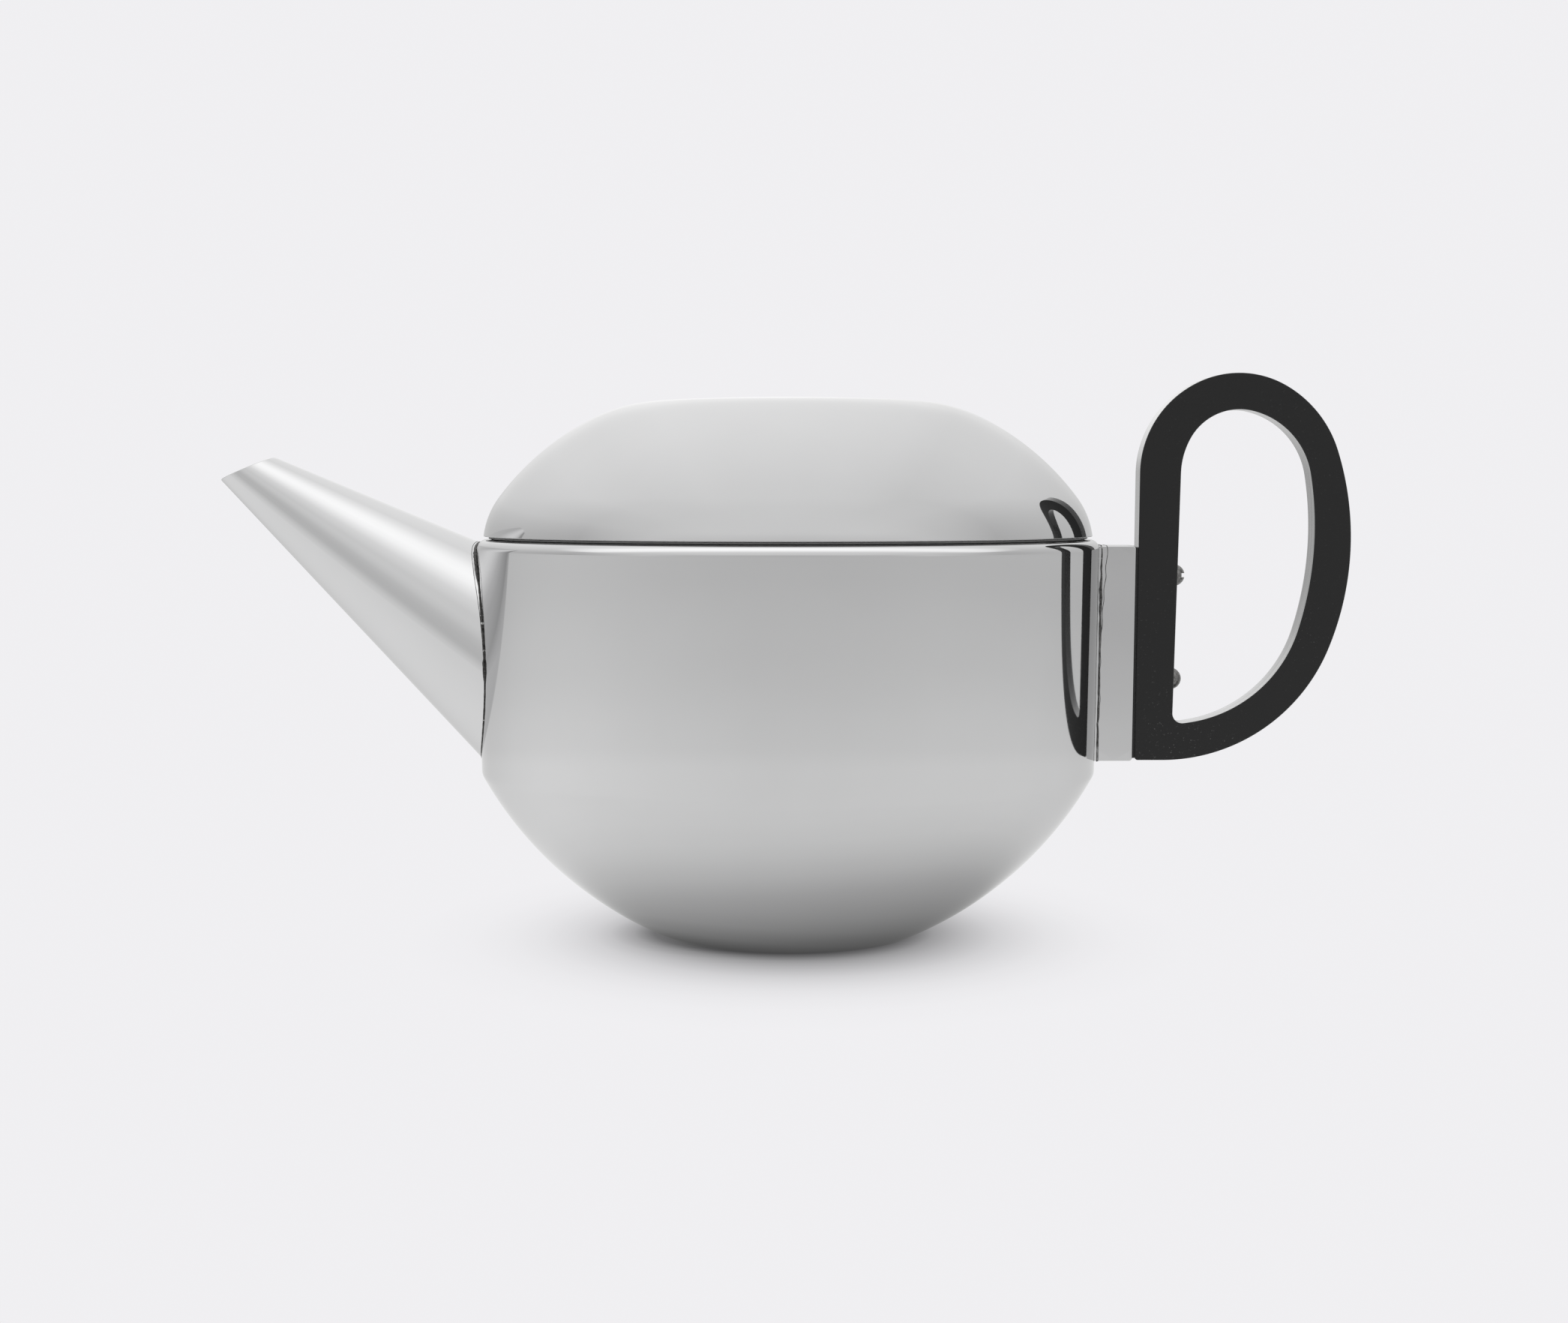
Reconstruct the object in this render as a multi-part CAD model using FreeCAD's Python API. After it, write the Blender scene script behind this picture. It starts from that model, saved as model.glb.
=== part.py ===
import FreeCAD, Part
import math
import os

# Stainless steel teapot: a bowl-bottomed vessel under a domed lift-off lid, with a straight conical
# spout on the left, and on the right a welded bracket that carries a D-shaped handle on two screws.
# Millimetres. The origin is the centre of the foot, +Z is up, +X points to the handle, -X to the spout.

# ---- driving dimensions ----
WALL = 1.2                      # vessel sheet
LID_WALL = 1.0                  # lid sheet
SPOUT_WALL = 1.0

FOOT_RADIUS = 30.2
BOWL_RISE = 22.7                # slope of the bowl where it leaves the foot, degrees
BOWL_RADIUS = 90.8
BOWL_TURN = 38.2
HAUNCH_RADIUS = 3.5             # tight bend from bowl to side wall
SIDE_SLOPE = 89.03              # the side wall opens by about one degree
SIDE_HEIGHT = 53.2
SHOULDER_RADIUS = 2.5
RIM_WIDTH = 2.0                 # flat of the rim, inside the shoulder
FLOOR_HEIGHT = 2.0              # inner face of the bottom

NECK_INNER_RADIUS = 68.0
NECK_WALL = 1.0
NECK_DEPTH = 9.0

LID_EDGE_RADIUS = 74.16
LID_EDGE_HEIGHT = 97.9
LID_EDGE_SLOPE = 97.0           # heading of the lid side at its lower edge, degrees
LID_ARCS = [(19.8, 29.65), (65.0, 26.35), (38.7, 24.25)]    # radius, turn in degrees
CROWN_HEIGHT = 131.4

COLLAR_GAP = 0.4                # lid collar to neck ring, radially
COLLAR_DEPTH = 8.0
COLLAR_WALL = 1.0
SEAL_THICKNESS = 0.8
SEAL_GAP = 0.05
SEAL_RADIUS = 72.9

SPOUT_APEX = FreeCAD.Vector(-155.4, 0, 129.5)
SPOUT_SLOPE = 34.8              # axis above the horizontal
SPOUT_HALF_ANGLE = 12.2
SPOUT_TIP = FreeCAD.Vector(-138.7, 0, 111.6)
MOUTH_SLOPE = 22.7              # the cut of the mouth rises toward the vessel
PORT_RADIUS = 13.0              # opening in the side wall behind the spout
STRAINER_MARGIN = 2.5
STRAINER_WALL = 0.8
STRAINER_HOLE_RADIUS = 1.2
STRAINER_PITCH = 4.4
SEAM = 0.6                      # width of the brazed and welded seams

HANDLE_WIDTH = 8.5
HANDLE_START = FreeCAD.Vector(84.85, 0, 43.1)               # lower corner, next to the pad
HANDLE_FLAT = 6.8
HANDLE_ARCS = [(43.5, 68), (71.0, 40), (28.0, 42), (23.0, 52), (24.5, 67)]
GRIP_START = FreeCAD.Vector(98.2, 0, 52.4)                  # finger opening, lower side
GRIP_RISE = 8.4
GRIP_ARCS = [(32.5, 64), (82.0, 27), (19.0, 67), (13.5, 75), (18.5, 27)]
GRIP_CORNER = FreeCAD.Vector(94.0, 0, 51.8)
GRIP_CORNER_RADIUS = 2.4
HANDLE_EDGE = 0.25
HANDLE_CORNER = 0.8

BRACKET_BOTTOM = 42.9
BRACKET_TOP = 95.6
BRACKET_CORNER = 0.8
BRACKET_BEVEL = 0.3
PAD_THICKNESS = 0.55
PAD_INSET = 0.5

SCREW_HEIGHTS = (63.0, 88.4)
SCREW_RADIUS = 1.5
SCREW_LENGTH = 16.0
SCREW_HEAD_RADIUS = 2.6
SCREW_HEAD_HEIGHT = 2.4
SCREW_HEAD_SIDE = 0.35          # straight side below the dome
SCREW_SLOT_WIDTH = 1.05
SCREW_SLOT_DEPTH = 1.0
SPOTFACE_RADIUS = 2.8           # shallow flat under each screw head
SPOTFACE_DEPTH = 0.1

# ---- cutting tools, which only have to reach past the metal ----
OVERRUN = 10.0
PORT_REACH = 30.0               # each way from the side wall
CONE_LENGTH = 110.0             # from the spout's apex to inside the vessel
CUTTING_BOX = 200.0
SPOUT_LIMIT = -60.0             # nothing of the spout lies right of this
BRACKET_ROOT = 60.0             # the bracket block starts here and is cut back to the wall
TOLERANCE = 0.001

UP = FreeCAD.Vector(0, 0, 1)
ORIGIN = FreeCAD.Vector(0, 0, 0)


# ---- outline helpers, all in the XZ plane ----
def point(x, z):
    return FreeCAD.Vector(x, 0, z)


def direction(heading):
    return point(math.cos(math.radians(heading)), math.sin(math.radians(heading)))


def turned(start, heading, radius, turn):
    """Start, middle and end of an arc that leaves start along heading and turns left by turn degrees."""
    centre = start + direction(heading + 90) * radius
    return [centre - direction(heading + 90 + turn * share) * radius for share in (0, 0.5, 1)]


def arc_run(start, heading, arcs):
    """Edges of tangent arcs given as (radius, left turn), with the end point and heading."""
    edges = []
    for radius, turn in arcs:
        first, middle, last = turned(start, heading, radius, turn)
        edges.append(Part.Arc(first, middle, last).toShape())
        start = last
        heading += turn
    return edges, start, heading


def line(first, last):
    return Part.makeLine(first, last)


def lines(points):
    return [line(a, b) for a, b in zip(points, points[1:])]


def revolved(edges):
    return Part.Face(Part.Wire(edges)).revolve(ORIGIN, UP, 360)


def ring(points):
    """Solid of revolution of a closed polygon of (radius, height) pairs."""
    corners = [point(*p) for p in points]
    return revolved(lines(corners + corners[:1]))


def extruded(edges, width):
    face = Part.Face(Part.Wire(edges))
    face.translate(FreeCAD.Vector(0, -width / 2, 0))
    return face.extrude(FreeCAD.Vector(0, width, 0))


# ---- vessel ----
def vessel_arcs(inset):
    return [(BOWL_RADIUS - inset, BOWL_TURN),
            (HAUNCH_RADIUS - inset, SIDE_SLOPE - BOWL_RISE - BOWL_TURN)]


def vessel_side(inset):
    """Outline of the side from foot to rim, inset from the outer skin."""
    start = point(FOOT_RADIUS, 0) + direction(BOWL_RISE + 90) * inset
    edges, low, heading = arc_run(start, BOWL_RISE, vessel_arcs(inset))
    high = low + direction(heading) * SIDE_HEIGHT
    shoulder, rim, _ = arc_run(high, heading, [(SHOULDER_RADIUS - inset, 180 - heading)])
    return edges + [line(low, high)] + shoulder, start, rim


def vessel_solid(inset):
    """The space inside the outline, closed at foot and rim."""
    edges, start, rim = vessel_side(inset)
    closing = lines([rim, point(0, rim.z), point(0, start.z), start])
    return revolved(edges + closing)


def rim_top():
    return vessel_side(0)[2]


def below_floor():
    return Part.makeCylinder(FOOT_RADIUS + OVERRUN, FLOOR_HEIGHT)


def port_axis_point():
    """Where the spout axis meets the side wall."""
    wall = vessel_side(0)[0][1].BoundBox.XMax
    run = -wall - SPOUT_APEX.x
    return point(-wall, SPOUT_APEX.z - run * math.tan(math.radians(SPOUT_SLOPE)))


def spout_axis():
    return direction(-SPOUT_SLOPE)


def port_cutter(radius):
    """Round cutter along the spout axis, through the side wall only."""
    start = port_axis_point() - spout_axis() * PORT_REACH
    return Part.makeCylinder(radius, 2 * PORT_REACH, start, spout_axis())


def body_shell():
    inside = vessel_solid(WALL).cut(below_floor())
    rim = rim_top()
    mouth = Part.makeCylinder(rim.x - RIM_WIDTH, 2 * WALL, point(0, rim.z - 1.5 * WALL))
    shell = vessel_solid(0).cut(inside).cut(mouth)
    return shell.cut(port_cutter(PORT_RADIUS))


def neck_ring():
    """Turned-down neck: a flange let into the rim and a collar that guides the lid."""
    top = rim_top().z
    outer = rim_top().x - RIM_WIDTH
    inner = NECK_INNER_RADIUS
    wall = NECK_WALL
    return ring([(inner, top), (outer, top), (outer, top - WALL), (inner + wall, top - WALL),
                 (inner + wall, top - NECK_DEPTH), (inner, top - NECK_DEPTH)])


# ---- spout ----
def spout_cone(offset):
    """Cone about the spout axis, with its surface offset outward from the spout's outer skin."""
    half = math.radians(SPOUT_HALF_ANGLE)
    apex = SPOUT_APEX - spout_axis() * (offset / math.sin(half))
    return Part.makeCone(0, CONE_LENGTH * math.tan(half), CONE_LENGTH, apex, spout_axis())


def cutting_box(x, z):
    """Large box with its lower left edge at x and z, centred across the vessel."""
    size = CUTTING_BOX
    return Part.makeBox(size, size, size, FreeCAD.Vector(x, -size / 2, z))


def above_mouth():
    """Everything above the slanting cut of the mouth."""
    cutter = cutting_box(-CUTTING_BOX / 2, 0)
    cutter.rotate(ORIGIN, FreeCAD.Vector(0, 1, 0), -MOUTH_SLOPE)
    cutter.translate(SPOUT_TIP)
    return cutter


def right_of_wall():
    return cutting_box(SPOUT_LIMIT, 0)


def spout():
    cone = spout_cone(0).cut(spout_cone(-SPOUT_WALL))
    return cone.cut(above_mouth()).cut(vessel_solid(0)).cut(right_of_wall())


def spout_seam():
    """Brazed bead where the spout meets the side wall."""
    collar = spout_cone(SEAM).cut(spout_cone(0)).common(grown_vessel())
    return collar.cut(vessel_solid(0)).cut(right_of_wall())


def grown_vessel():
    return vessel_solid(-SEAM)


def strainer_holes():
    centre = port_axis_point()
    reach = PORT_RADIUS - STRAINER_HOLE_RADIUS
    rows = int(2 * reach / STRAINER_PITCH)
    holes = []
    for row in range(-rows, rows + 1):
        for column in range(-rows, rows + 1):
            y = (column + (row % 2) / 2) * STRAINER_PITCH
            rise = row * STRAINER_PITCH * math.sqrt(3) / 2
            flattened = rise * math.cos(math.radians(SPOUT_SLOPE))
            if math.hypot(y, flattened) <= reach:
                start = FreeCAD.Vector(centre.x - OVERRUN, y, centre.z + rise)
                holes.append(Part.makeCylinder(STRAINER_HOLE_RADIUS, 2 * OVERRUN, start, direction(0)))
    return Part.makeCompound(holes)


def strainer():
    """Perforated plate against the inside of the wall, over the opening to the spout."""
    plate = vessel_solid(WALL).cut(vessel_solid(WALL + STRAINER_WALL))
    plate = plate.common(port_cutter(PORT_RADIUS + STRAINER_MARGIN))
    return plate.cut(strainer_holes())


# ---- handle ----
def handle_outline():
    flat_end = HANDLE_START + direction(0) * HANDLE_FLAT
    edges, end, _ = arc_run(flat_end, 0, HANDLE_ARCS)
    return [line(HANDLE_START, flat_end)] + edges + [line(end, HANDLE_START)], end


def spine():
    """Unit vector up the straight side of the handle, next to the bracket."""
    across = handle_outline()[1] - HANDLE_START
    return across.normalize()


def outward():
    """Unit normal of that side, pointing away from the vessel."""
    return point(spine().z, -spine().x)


def on_spine(z, away=0.0):
    """Point on the straight side at height z, moved away from the vessel."""
    return HANDLE_START + spine() * ((z - HANDLE_START.z) / spine().z) + outward() * away


def grip_outline():
    edges, end, _ = arc_run(GRIP_START, GRIP_RISE, GRIP_ARCS)
    down = (GRIP_CORNER - end).normalize()
    back = (GRIP_CORNER - GRIP_START).normalize()
    half = down.getAngle(back) / 2
    reach = GRIP_CORNER_RADIUS * math.tan(math.pi / 2 - half)
    upper = GRIP_CORNER - down * reach
    lower = GRIP_CORNER - back * reach
    inward = (upper + lower - GRIP_CORNER * 2).normalize()
    centre = GRIP_CORNER + inward * (GRIP_CORNER_RADIUS / math.sin(half))
    corner = Part.Arc(upper, centre - inward * GRIP_CORNER_RADIUS, lower).toShape()
    return edges + [line(end, upper), corner, line(lower, GRIP_START)], end


def grip_face(z):
    """Distance from the bracket side of the handle to the finger opening at height z."""
    end = grip_outline()[1]
    share = (z - GRIP_CORNER.z) / (end.z - GRIP_CORNER.z)
    at = GRIP_CORNER + (end - GRIP_CORNER) * share
    return (at - on_spine(z)).dot(outward())


def face_borders(shape):
    """Edges that lie wholly in the front or back face."""
    half = HANDLE_WIDTH / 2
    return [e for e in shape.Edges
            if e.BoundBox.YLength < TOLERANCE and abs(abs(e.BoundBox.YMin) - half) < TOLERANCE]


def edges_across(shape, x_low, x_high):
    """Straight edges along Y between two X values."""
    crossing = [e for e in shape.Edges if e.BoundBox.YLength > HANDLE_WIDTH / 2]
    return [e for e in crossing if e.BoundBox.XMin > x_low and e.BoundBox.XMax < x_high]


def screw_seat(z):
    """Where the underside of a screw head bears on the handle."""
    return on_spine(z, grip_face(z) - SPOTFACE_DEPTH)


def screw_hole(z):
    """Round hole for a screw's shank, through handle and pad and into the bracket."""
    start = screw_seat(z) + outward() * OVERRUN
    return Part.makeCylinder(SCREW_RADIUS, OVERRUN + SCREW_LENGTH, start, outward() * -1)


def handle():
    bar = extruded(handle_outline()[0], HANDLE_WIDTH)
    near = HANDLE_START.x
    bar = bar.makeFillet(HANDLE_CORNER, edges_across(bar, near - PAD_THICKNESS, near + PAD_THICKNESS))
    bar = bar.cut(extruded(grip_outline()[0], HANDLE_WIDTH))
    bar = bar.makeFillet(HANDLE_EDGE, face_borders(bar))
    for z in SCREW_HEIGHTS:
        bar = bar.cut(screw_hole(z))
        bar = bar.cut(Part.makeCylinder(SPOTFACE_RADIUS, OVERRUN, screw_seat(z), outward()))
    return bar


def bracket_outline(growth=0.0):
    """Wedge from inside the vessel to the pad."""
    low = BRACKET_BOTTOM - growth
    high = BRACKET_TOP + growth
    return lines([point(BRACKET_ROOT, low), on_spine(low, -PAD_THICKNESS), on_spine(high, -PAD_THICKNESS),
                  point(BRACKET_ROOT, high), point(BRACKET_ROOT, low)])


def handle_bracket():
    block = extruded(bracket_outline(), HANDLE_WIDTH)
    outside = vessel_side(0)[0][1].BoundBox.XMax
    block = block.makeFillet(BRACKET_CORNER, edges_across(block, outside, HANDLE_START.x + PAD_THICKNESS))
    block = block.makeChamfer(BRACKET_BEVEL, face_borders(block))
    block = block.cut(vessel_solid(0))
    for z in SCREW_HEIGHTS:
        block = block.cut(screw_hole(z))
    return block


def bracket_seam():
    """Weld bead round the foot of the bracket."""
    outer = extruded(bracket_outline(SEAM), HANDLE_WIDTH + 2 * SEAM)
    inner = extruded(bracket_outline(), HANDLE_WIDTH)
    return outer.cut(inner).common(grown_vessel()).cut(vessel_solid(0))


def heat_pad():
    """Thin insulating pad that keeps the handle off the hot bracket."""
    low = HANDLE_START.z + PAD_INSET
    high = BRACKET_TOP - PAD_INSET
    corners = [on_spine(low), on_spine(high), on_spine(high, -PAD_THICKNESS), on_spine(low, -PAD_THICKNESS)]
    pad = extruded(lines(corners + corners[:1]), HANDLE_WIDTH - 2 * PAD_INSET)
    for z in SCREW_HEIGHTS:
        pad = pad.cut(screw_hole(z))
    return pad


def screw_profile():
    """Half section of a screw, standing on its head's underside at z = 0."""
    radius = SCREW_HEAD_RADIUS
    rise = SCREW_HEAD_HEIGHT - SCREW_HEAD_SIDE
    dome_radius = (radius ** 2 + rise ** 2) / (2 * rise)
    centre = point(0, SCREW_HEAD_HEIGHT - dome_radius)
    shoulder = point(radius, SCREW_HEAD_SIDE)
    crown = point(0, SCREW_HEAD_HEIGHT)
    bulge = centre + (shoulder + crown - centre * 2).normalize() * dome_radius
    dome = Part.Arc(shoulder, bulge, crown).toShape()
    foot = point(0, -SCREW_LENGTH)
    shank = [foot, point(SCREW_RADIUS, -SCREW_LENGTH), point(SCREW_RADIUS, 0), point(radius, 0), shoulder]
    return lines(shank) + [dome, line(crown, foot)]


def slotted_screw(z, slot_turn):
    body = revolved(screw_profile())
    size = 4 * SCREW_HEAD_RADIUS
    corner = FreeCAD.Vector(-size / 2, -SCREW_SLOT_WIDTH / 2, SCREW_HEAD_HEIGHT - SCREW_SLOT_DEPTH)
    slot = Part.makeBox(size, SCREW_SLOT_WIDTH, size, corner)
    slot.rotate(ORIGIN, UP, slot_turn)
    screw = body.cut(slot)
    screw.Placement = FreeCAD.Placement(screw_seat(z), FreeCAD.Rotation(UP, outward()))
    return screw


def handle_screws():
    lower, upper = SCREW_HEIGHTS
    return Part.makeCompound([slotted_screw(lower, 0), slotted_screw(upper, 90)])


# ---- lid ----
def lid_side(inset):
    start = point(LID_EDGE_RADIUS, LID_EDGE_HEIGHT) + direction(LID_EDGE_SLOPE + 90) * inset
    arcs = [(radius - inset, turn) for radius, turn in LID_ARCS]
    edges, corner, _ = arc_run(start, LID_EDGE_SLOPE, arcs)
    return edges, start, corner


def lid_solid(inset):
    """The space under the lid's skin: three arcs up the side and a shallow crown."""
    edges, start, corner = lid_side(inset)
    top = point(0, CROWN_HEIGHT - inset)
    rise = top.z - corner.z
    radius = (corner.x ** 2 + rise ** 2) / (2 * rise)
    half = math.asin(corner.x / radius) / 2
    middle = point(radius * math.sin(half), top.z - radius * (1 - math.cos(half)))
    crown = Part.Arc(corner, middle, top).toShape()
    base = point(0, start.z)
    return revolved(edges + [crown, line(top, base), line(base, start)])


def lid_shell():
    shell = lid_solid(0).cut(lid_solid(LID_WALL))
    return shell.cut(Part.makeCylinder(LID_EDGE_RADIUS + OVERRUN, LID_EDGE_HEIGHT))


def collar_radius():
    return NECK_INNER_RADIUS - COLLAR_GAP


def lid_collar():
    """Ring inside the lid: a flange under the lid's edge and a collar that drops into the neck."""
    low = LID_EDGE_HEIGHT
    high = low + COLLAR_WALL
    foot = low - COLLAR_DEPTH
    radius = collar_radius()
    inner = radius - COLLAR_WALL
    solid = ring([(inner, foot), (radius, foot), (radius, low), (LID_EDGE_RADIUS, low),
                  (LID_EDGE_RADIUS, high), (inner, high)])
    below_lid = Part.makeCylinder(radius + COLLAR_WALL, LID_EDGE_HEIGHT)
    return solid.common(lid_solid(LID_WALL).fuse(below_lid))


def lid_seal():
    """Flat ring between rim and lid with a rounded outer lip."""
    inner = collar_radius() + SEAL_GAP
    half = SEAL_THICKNESS / 2
    low = rim_top().z + SEAL_GAP
    straight = SEAL_RADIUS - half
    lip = Part.Arc(point(straight, low), point(SEAL_RADIUS, low + half), point(straight, low + 2 * half))
    sides = lines([point(straight, low + 2 * half), point(inner, low + 2 * half), point(inner, low),
                   point(straight, low)])
    return revolved([lip.toShape()] + sides)


NODES = (body_shell, neck_ring, spout, spout_seam, strainer, handle_bracket, bracket_seam, heat_pad,
         handle, handle_screws, lid_shell, lid_collar, lid_seal)


def main():
    os.makedirs("parts", exist_ok=True)
    for make in NODES:
        shape = make()
        shape.exportStep(os.path.join("parts", make.__name__ + ".step"))
        print(make.__name__, shape.isValid(), len(shape.Solids), round(shape.Volume, 1))


main()
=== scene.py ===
import math

import bmesh
import bpy
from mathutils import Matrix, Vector, noise


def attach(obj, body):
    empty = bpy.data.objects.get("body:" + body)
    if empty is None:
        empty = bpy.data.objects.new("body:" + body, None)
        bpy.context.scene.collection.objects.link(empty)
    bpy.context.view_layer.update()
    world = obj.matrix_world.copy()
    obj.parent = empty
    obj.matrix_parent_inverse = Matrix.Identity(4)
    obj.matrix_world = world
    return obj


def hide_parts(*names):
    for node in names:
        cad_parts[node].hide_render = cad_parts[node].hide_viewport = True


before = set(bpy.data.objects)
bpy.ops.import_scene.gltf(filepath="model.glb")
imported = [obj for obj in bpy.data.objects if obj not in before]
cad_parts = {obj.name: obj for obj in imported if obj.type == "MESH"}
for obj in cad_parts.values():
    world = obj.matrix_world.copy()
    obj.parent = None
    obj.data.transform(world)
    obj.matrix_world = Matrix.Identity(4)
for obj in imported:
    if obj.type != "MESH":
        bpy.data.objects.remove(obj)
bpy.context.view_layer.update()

MM = 0.001

# ---- the shape in millimetres and degrees, as in the CAD part but for the seal and a rim 0.2 higher ----
WALL = 1.2
FOOT_RADIUS = 30.2
FOOT_EDGE = 0.35
BOWL_RISE = 22.7
BOWL_ARC = (90.8, 38.2)
HAUNCH_RADIUS = 3.5
SIDE_SLOPE = 89.03
SIDE_HEIGHT = 53.4
SHOULDER_RADIUS = 2.5
RIM_WIDTH = 2.0
FLOOR_HEIGHT = 2.0
PORT_RADIUS = 13.0
PORT_HEIGHT = 74

LID_WALL = 1.0
LID_EDGE = (74.16, 97.9)
LID_EDGE_SLOPE = 97.0
LID_ARCS = [(19.8, 29.65), (65.0, 26.35), (38.7, 24.25)]
CROWN_HEIGHT = 131.4

SPOUT_APEX = Vector((-155.4, 0, 129.5))
SPOUT_SLOPE = 34.8
SPOUT_HALF_ANGLE = 12.2
SPOUT_TIP = Vector((-138.7, 0, 111.6))
SPOUT_WALL = 1.0
MOUTH_SLOPE = 22.7
LIP_EDGE = 0.16
ROOT_SEARCH = (40.0, 140.0)
HALVINGS = 40
SPOUT_SIDE = -80
ROOT_OVERLAP = 0.02

HANDLE_WIDTH = 8.5
HANDLE_START = (84.85, 43.1)
HANDLE_FLAT = 6.8
HANDLE_ARCS = [(43.5, 68), (71.0, 40), (28.0, 42), (23.0, 52), (24.5, 67)]
HANDLE_CORNER = 0.8
HANDLE_EDGE = 0.25
GRIP_START = (98.2, 52.4)
GRIP_RISE = 8.4
GRIP_ARCS = [(32.5, 64), (82.0, 27), (19.0, 67), (13.5, 75), (18.5, 27)]
GRIP_CORNER = (94.0, 51.8)
GRIP_CORNER_RADIUS = 2.4

BRACKET_SPAN = (42.9, 95.6)
BRACKET_CORNER = 0.8
BRACKET_EDGE = 0.35
BRACKET_ROOT = (74.0, 74.45)
PAD_THICKNESS = 0.55

# (share of the seam's height, half thickness or distance from the wall) in millimetres
SEAM_SWELL = [(0.0, 0.1), (0.08, 0.13), (0.38, 0.15), (0.42, 0.34), (0.47, 0.32), (0.49, 0.22), (0.68, 0.24),
              (0.76, 0.15), (0.82, 0.17), (0.88, 0.38), (0.95, 0.42), (1.0, 0.28)]
SEAM_OUTLINE = [(0.0, 0.1), (0.5, 0.3), (0.7, 0.7), (0.85, 1.25), (0.95, 1.35), (1.0, 0.9)]
WELD_OFFSET = 0.75
WELD_SWELL = [(0.0, 0.13), (0.1, 0.2), (0.5, 0.19), (0.62, 0.26), (0.75, 0.36), (0.85, 0.3), (0.93, 0.2),
              (1.0, 0.17)]
CRACK_OFFSET = [(0.0, 1.0), (0.55, 1.05), (0.72, 1.35), (0.85, 1.8), (1.0, 2.1)]

# (radius, height) of the seal's rim. revolved() closes it on the axis, so seal_lip is a solid disc that
# crosses lid_collar, while the CAD's lid_seal is a ring.
SEAL_OUTLINE = [(67.65, 97.26), (71.8, 97.26), (72.4, 97.3), (72.85, 97.42), (72.95, 97.55), (72.85, 97.68),
                (72.4, 97.8), (71.8, 97.84), (67.65, 97.84)]


# ---- outlines: lists of (x, z, heading) stations ----
def along(heading, length):
    return length * math.cos(math.radians(heading)), length * math.sin(math.radians(heading))


def moved(start, heading, length):
    dx, dz = along(heading, length)
    return start[0] + dx, start[1] + dz


def arc_stations(start, heading, radius, turn, step=0.5):
    """Stations on an arc that leaves start along heading and turns left by turn degrees."""
    centre = moved(start, heading + 90, radius)
    count = max(4, math.ceil(math.radians(abs(turn)) * radius / step))
    stations = []
    for k in range(count + 1):
        here = heading + turn * k / count
        stations.append((*moved(centre, here + 90, -radius), here))
    return stations


def run_of_arcs(start, heading, arcs, step=0.5):
    stations = []
    for radius, turn in arcs:
        piece = arc_stations(start, heading, radius, turn, step)
        stations += piece if not stations else piece[1:]
        start = piece[-1][:2]
        heading += turn
    return stations


def straight_stations(first, last, step=2.0):
    """Stations between two points, both ends left out."""
    dx, dz = last[0] - first[0], last[1] - first[1]
    heading = math.degrees(math.atan2(dz, dx))
    count = max(1, round(math.hypot(dx, dz) / step))
    return [(first[0] + dx * k / count, first[1] + dz * k / count, heading) for k in range(1, count)]


def heading_between(first, last):
    return math.degrees(math.atan2(last[1] - first[1], last[0] - first[0]))


def rounded_corner(before, corner, after, radius):
    """Stations of the arc that rounds a corner between two straight lines, turning left."""
    arriving = heading_between(before, corner)
    leaving = heading_between(corner, after)
    turn = (leaving - arriving) % 360
    reach = radius * math.tan(math.radians(turn / 2))
    return arc_stations(moved(corner, arriving, -reach), arriving, radius, turn, 0.15)


def offset_points(stations, inset):
    """Points moved to the left of their heading by inset."""
    return [moved((x, z), heading + 90, inset) for x, z, heading in stations]


# ---- meshes ----
def mesh_object(name, points, faces, sharp_angle=35.0):
    mesh = bpy.data.meshes.new(name)
    mesh.from_pydata([Vector(p) * MM for p in points], [], faces)
    mesh.polygons.foreach_set("use_smooth", [True] * len(mesh.polygons))
    mesh.set_sharp_from_angle(angle=math.radians(sharp_angle))
    mesh.update()
    made = bpy.data.objects.new(name, mesh)
    bpy.context.scene.collection.objects.link(made)
    return made


def grid_faces(rows, columns, row_wrap, column_wrap):
    faces = []
    for r in range(rows if row_wrap else rows - 1):
        for c in range(columns if column_wrap else columns - 1):
            a = r * columns + c
            b = r * columns + (c + 1) % columns
            e = ((r + 1) % rows) * columns + (c + 1) % columns
            d = ((r + 1) % rows) * columns + c
            faces.append((a, b, e, d))
    return faces


def revolved(name, outline, segments=360):
    """Solid of revolution about Z. The outline is (radius, height) from the axis out and back to the axis."""
    rings = outline[1:-1]
    points = []
    for radius, height in rings:
        for k in range(segments):
            turn = math.tau * k / segments
            points.append((radius * math.cos(turn), radius * math.sin(turn), height))
    faces = grid_faces(len(rings), segments, False, True)
    first, last = len(points), len(points) + 1
    points += [(0, 0, outline[0][1]), (0, 0, outline[-1][1])]
    base = (len(rings) - 1) * segments
    for k in range(segments):
        after = (k + 1) % segments
        faces.append((first, after, k))
        faces.append((last, base + k, base + after))
    return mesh_object(name, points, faces)


# ---- vessel ----
def vessel_stations(inset):
    start = moved((FOOT_RADIUS, 0), BOWL_RISE + 90, inset)
    radius, turn = BOWL_ARC
    haunch = SIDE_SLOPE - BOWL_RISE - turn
    stations = run_of_arcs(start, BOWL_RISE, [(radius - inset, turn), (HAUNCH_RADIUS - inset, haunch)], 0.7)
    low = stations[-1][:2]
    high = moved(low, SIDE_SLOPE, SIDE_HEIGHT)
    stations += straight_stations(low, high, 1.5)
    return stations + arc_stations(high, SIDE_SLOPE, SHOULDER_RADIUS - inset, 180 - SIDE_SLOPE, 0.15)


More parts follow.
